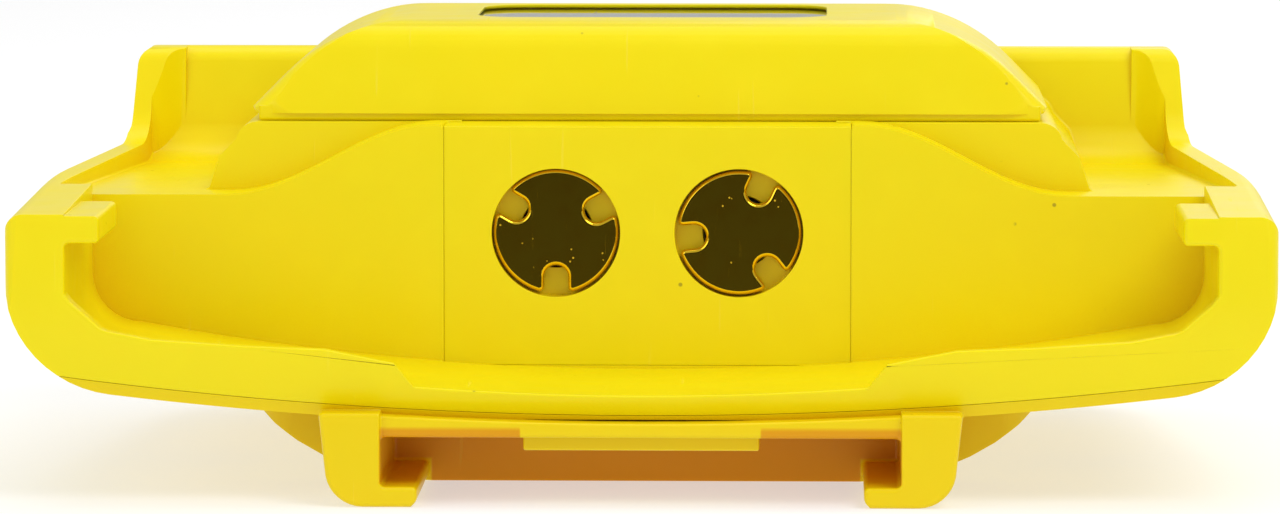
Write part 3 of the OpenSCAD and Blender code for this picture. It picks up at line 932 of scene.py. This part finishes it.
class DIVE_OT_housing(bpy.types.Operator):
    """Model the raised housing around the display"""

    bl_idname = "dive.housing"
    bl_label = "Display housing"

    def execute(self, context):
        look = settings("dive_mouldings")
        rounded_node("display_housing", "housing_moulding", look.housing_edge)
        return {"FINISHED"}


class DIVE_OT_window(bpy.types.Operator):
    """Model the clear window with softened corners"""

    bl_idname = "dive.window"
    bl_label = "Display window"

    def execute(self, context):
        look = settings("dive_mouldings")
        rounded_node("display_window", "window_lens", look.small_edge)
        return {"FINISHED"}


class DIVE_OT_contact_block(bpy.types.Operator):
    """Model the block that holds the two contacts"""

    bl_idname = "dive.contact_block"
    bl_label = "Contact block"

    def execute(self, context):
        look = settings("dive_mouldings")
        bridge = merged_copy("contact_block", "contact_bridge")
        self.close_seams(bridge)
        round_edges(bridge, look.block_edge)
        finished(bridge, "case", "yellow_plastic", "contact_block")
        return {"FINISHED"}

    def close_seams(self, bridge):
        """Moves the sides and the foot out until only a hairline is left beside them."""
        low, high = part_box("contact_block")
        near, outwards = 0.01 * MM, 0.04 * MM
        for vert in bridge.data.vertices:
            if high.x - vert.co.x < near:
                vert.co.x += outwards
            elif vert.co.x - low.x < near:
                vert.co.x -= outwards
            if vert.co.z - low.z < near:
                vert.co.z -= outwards


class DIVE_OT_contacts(bpy.types.Operator):
    """Model the two notched gold contacts with rolled rims"""

    bl_idname = "dive.contacts"
    bl_label = "Contacts"

    turns = {"contact_left": (28, 150, 270), "contact_right": (65, 185, 308)}
    stem_radius = 1.2 * MM
    rim_step = 4

    def execute(self, context):
        for node, angles in self.turns.items():
            self.contact(node, angles)
        return {"FINISHED"}

    def outline(self, radius, angles):
        """Points round a disc with round-ended notches whose mouths are rounded too."""
        look = settings("dive_contacts")
        notch, mouth = look.notch_width / 2, look.mouth_radius
        foot = radius - look.notch_depth + notch
        mouth_u = math.sqrt((radius - mouth) ** 2 - (notch + mouth) ** 2)
        open_angle = math.degrees(math.atan2(notch + mouth, mouth_u))
        half = [
            (mouth_u + mouth * math.cos(a), notch + mouth + mouth * math.sin(a))
            for a in (math.radians(-90 + (90 + open_angle) * k / 7) for k in range(8))
        ]
        half = [(foot, notch)] + half
        round_end = [
            (foot - notch * math.sin(a), notch * math.cos(a))
            for a in (math.radians(180 * k / 14) for k in range(1, 14))
        ]
        notch_path = [(u, -v) for u, v in reversed(half)]
        notch_path += [(u, -v) for u, v in round_end]
        notch_path += half
        points = []
        for angle, following in zip(angles, angles[1:] + (angles[0] + 360,)):
            turn = math.radians(angle)
            for u, v in notch_path:
                points.append(
                    (
                        u * math.cos(turn) - v * math.sin(turn),
                        u * math.sin(turn) + v * math.cos(turn),
                    )
                )
            first, last = angle + open_angle, following - open_angle
            steps = round((last - first) / self.rim_step)
            for k in range(1, steps):
                a = math.radians(first + (last - first) * k / steps)
                points.append((radius * math.cos(a), radius * math.sin(a)))
        return points

    def contact(self, node, angles):
        look = settings("dive_contacts")
        low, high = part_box(node)
        centre = Vector(((low.x + high.x) / 2, low.y, (low.z + high.z) / 2))
        points = self.outline((high.x - low.x) / 2, angles)
        select_none()
        bpy.ops.mesh.primitive_circle_add(vertices=len(points), radius=0.004, fill_type="NGON")
        disc = bpy.context.object
        disc.name = node.replace("contact", "contact_disc")
        for vert, (u, v) in zip(disc.data.vertices, points):
            vert.co = centre + Vector((u, 0, v))
        bpy.ops.object.mode_set(mode="EDIT")
        bpy.ops.mesh.select_all(action="SELECT")
        bpy.ops.mesh.extrude_region_move(
            TRANSFORM_OT_translate={"value": (0, look.disc_thickness, 0)}
        )
        bpy.ops.mesh.select_all(action="SELECT")
        bpy.ops.mesh.normals_make_consistent(inside=False)
        bpy.ops.object.mode_set(mode="OBJECT")
        round_edges(disc, look.rim_radius, 4, 50)
        stem = rod(
            node.replace("contact", "contact_stem"),
            (centre.x, (low.y + look.disc_thickness + high.y) / 2, centre.z),
            self.stem_radius,
            high.y - low.y - look.disc_thickness + 0.1 * MM,
            (math.pi / 2, 0, 0),
            32,
        )
        pick(disc, stem)
        bpy.ops.object.join()
        finished(disc, BODY_OF[node], SLOT_OF[node], node)


class DIVE_OT_battery_cap(bpy.types.Operator):
    """Model the coin-slot battery cap"""

    bl_idname = "dive.battery_cap"
    bl_label = "Battery cap"

    def execute(self, context):
        look = settings("dive_mouldings")
        rounded_node("battery_cap", "battery_cover", look.small_edge)
        return {"FINISHED"}


class DIVE_OT_latches(bpy.types.Operator):
    """Model the two sprung strap latches"""

    bl_idname = "dive.latches"
    bl_label = "Strap latches"

    def execute(self, context):
        look = settings("dive_mouldings")
        rounded_node("strap_latch_front", "front_latch", look.small_edge)
        rounded_node("strap_latch_rear", "rear_latch", look.small_edge)
        return {"FINISHED"}


class DIVE_OT_fittings(bpy.types.Operator):
    """Model the sensor guard and the case screws"""

    bl_idname = "dive.fittings"
    bl_label = "Guard and screws"

    def execute(self, context):
        look = settings("dive_mouldings")
        rounded_node("sensor_guard", "sensor_grille", look.small_edge)
        rounded_node("case_screws", "case_fasteners", look.small_edge / 2)
        return {"FINISHED"}


class DIVE_OT_inside(bpy.types.Operator):
    """Give the inside parts their finishes"""

    bl_idname = "dive.inside"
    bl_label = "Inside parts"

    def execute(self, context):
        for name, node in NODES.items():
            if node.hide_render:
                continue
            node.data.materials.clear()
            node.data.materials.append(finish(SLOT_OF[name]))
        return {"FINISHED"}


class DIVE_OT_studio(bpy.types.Operator):
    """Set up the pale floor, the soft lights and the camera"""

    bl_idname = "dive.studio"
    bl_label = "Studio"

    lights = {
        "key_light": ((0.32, -0.38, 0.55), 0.42, 1.85),
        "fill_light": ((-0.5, -0.42, 0.32), 0.5, 0.8),
        "top_light": ((0.0, 0.1, 0.7), 0.6, 1.4),
        "back_light": ((0.2, 0.6, 0.35), 0.4, 0.6),
    }

    def execute(self, context):
        look = settings("dive_studio")
        self.world(look)
        self.floor(look)
        self.card()
        for name, (place, size, power) in self.lights.items():
            self.lamp(name, place, size, power)
        self.camera(look)
        context.scene.view_settings.view_transform = "Standard"
        return {"FINISHED"}

    def world(self, look):
        world = bpy.data.worlds.new("room_light")
        world.use_nodes = True
        sky = world.node_tree.nodes["Background"]
        sky.inputs["Color"].default_value = (1.0, 1.0, 1.0, 1.0)
        sky.inputs["Strength"].default_value = look.world_light
        bpy.context.scene.world = world

    def floor(self, look):
        select_none()
        bpy.ops.mesh.primitive_circle_add(
            vertices=64, radius=4, fill_type="NGON", location=(0, 0, -0.00002)
        )
        ground = bpy.context.object
        ground.name = "studio_floor"
        f = Finish("studio_floor")
        patch = f.noise(6, 2)
        base = tuple(look.floor_colour)
        ground.data.materials.append(
            f.surface(
                {
                    "Base Color": f.mix(patch.fade(0.3, 0.7), base, shade(base, 0.99)),
                    "Roughness": 0.7 + patch * 0.1,
                    "Specular IOR Level": 0.1,
                    "Emission Color": (1.0, 1.0, 1.0, 1.0),
                    "Emission Strength": 0.52,
                }
            )
        )

    def card(self):
        """Two dark cards before the object for the gold and the gloss to mirror."""
        f = Finish("dark_card")
        dark = f.surface({"Base Color": (0.006, 0.006, 0.006, 1), "Roughness": 0.9})
        for name, place, size, turn in (
            ("floor_card", (0, -0.42, 0.0004), (0.9, 0.72, 1), (0, 0, 0)),
            ("upright_card", (0, -0.78, 0.1), (0.9, 0.3, 1), (math.pi / 2, 0, 0)),
        ):
            card = place_primitive(
                bpy.ops.mesh.primitive_plane_add, name, place, size, turn, size=1
            )
            card.data.materials.append(dark)
            card.visible_camera = False
            card.visible_diffuse = False
            card.visible_shadow = False
            card.visible_transmission = False

    def lamp(self, name, place, size, power):
        light = bpy.data.lights.new(name, "AREA")
        light.shape = "DISK"
        light.size = size
        light.energy = power
        lamp = bpy.data.objects.new(name, light)
        bpy.context.scene.collection.objects.link(lamp)
        lamp.location = place
        aim = (CASE_MIDDLE - lamp.location).to_track_quat("-Z", "Y")
        lamp.rotation_euler = aim.to_euler()

    def camera(self, look):
        data = bpy.data.cameras.new("studio_camera")
        data.sensor_width = 36
        data.lens = look.lens
        data.clip_start = 0.01
        data.clip_end = 20
        camera = bpy.data.objects.new("studio_camera", data)
        bpy.context.scene.collection.objects.link(camera)
        camera.location = look.camera_place
        aim = Vector(look.camera_aim) - Vector(look.camera_place)
        camera.rotation_euler = aim.to_track_quat("-Z", "Y").to_euler()
        bpy.context.scene.camera = camera


class DIVE_PT_sidebar(bpy.types.Panel):
    """Sizes, colours and pieces of the dive computer"""

    bl_idname = "DIVE_PT_sidebar"
    bl_label = "Dive computer"
    bl_space_type = "VIEW_3D"
    bl_region_type = "UI"
    bl_category = "Dive computer"

    def draw(self, context):
        for group, kind in GROUPS.items():
            held = settings(group)
            column = self.layout.column(align=True)
            for name in kind.__annotations__:
                column.prop(held, name)
        column = self.layout.column(align=True)
        for operator in OPERATORS:
            column.operator(operator.bl_idname)


OPERATORS = (
    DIVE_OT_case,
    DIVE_OT_housing,
    DIVE_OT_window,
    DIVE_OT_contact_block,
    DIVE_OT_contacts,
    DIVE_OT_battery_cap,
    DIVE_OT_latches,
    DIVE_OT_fittings,
    DIVE_OT_inside,
    DIVE_OT_studio,
)


def register():
    for group in (*GROUPS.values(), *OPERATORS, DIVE_PT_sidebar):
        bpy.utils.register_class(group)
    for name, group in GROUPS.items():
        setattr(bpy.types.Scene, name, bpy.props.PointerProperty(type=group))


def unregister():
    for name in GROUPS:
        delattr(bpy.types.Scene, name)
    for group in reversed((*GROUPS.values(), *OPERATORS, DIVE_PT_sidebar)):
        bpy.utils.unregister_class(group)


def main():
    register()
    for operator in OPERATORS:
        area, name = operator.bl_idname.split(".")
        getattr(getattr(bpy.ops, area), name)()


if __name__ == "__main__":
    main()
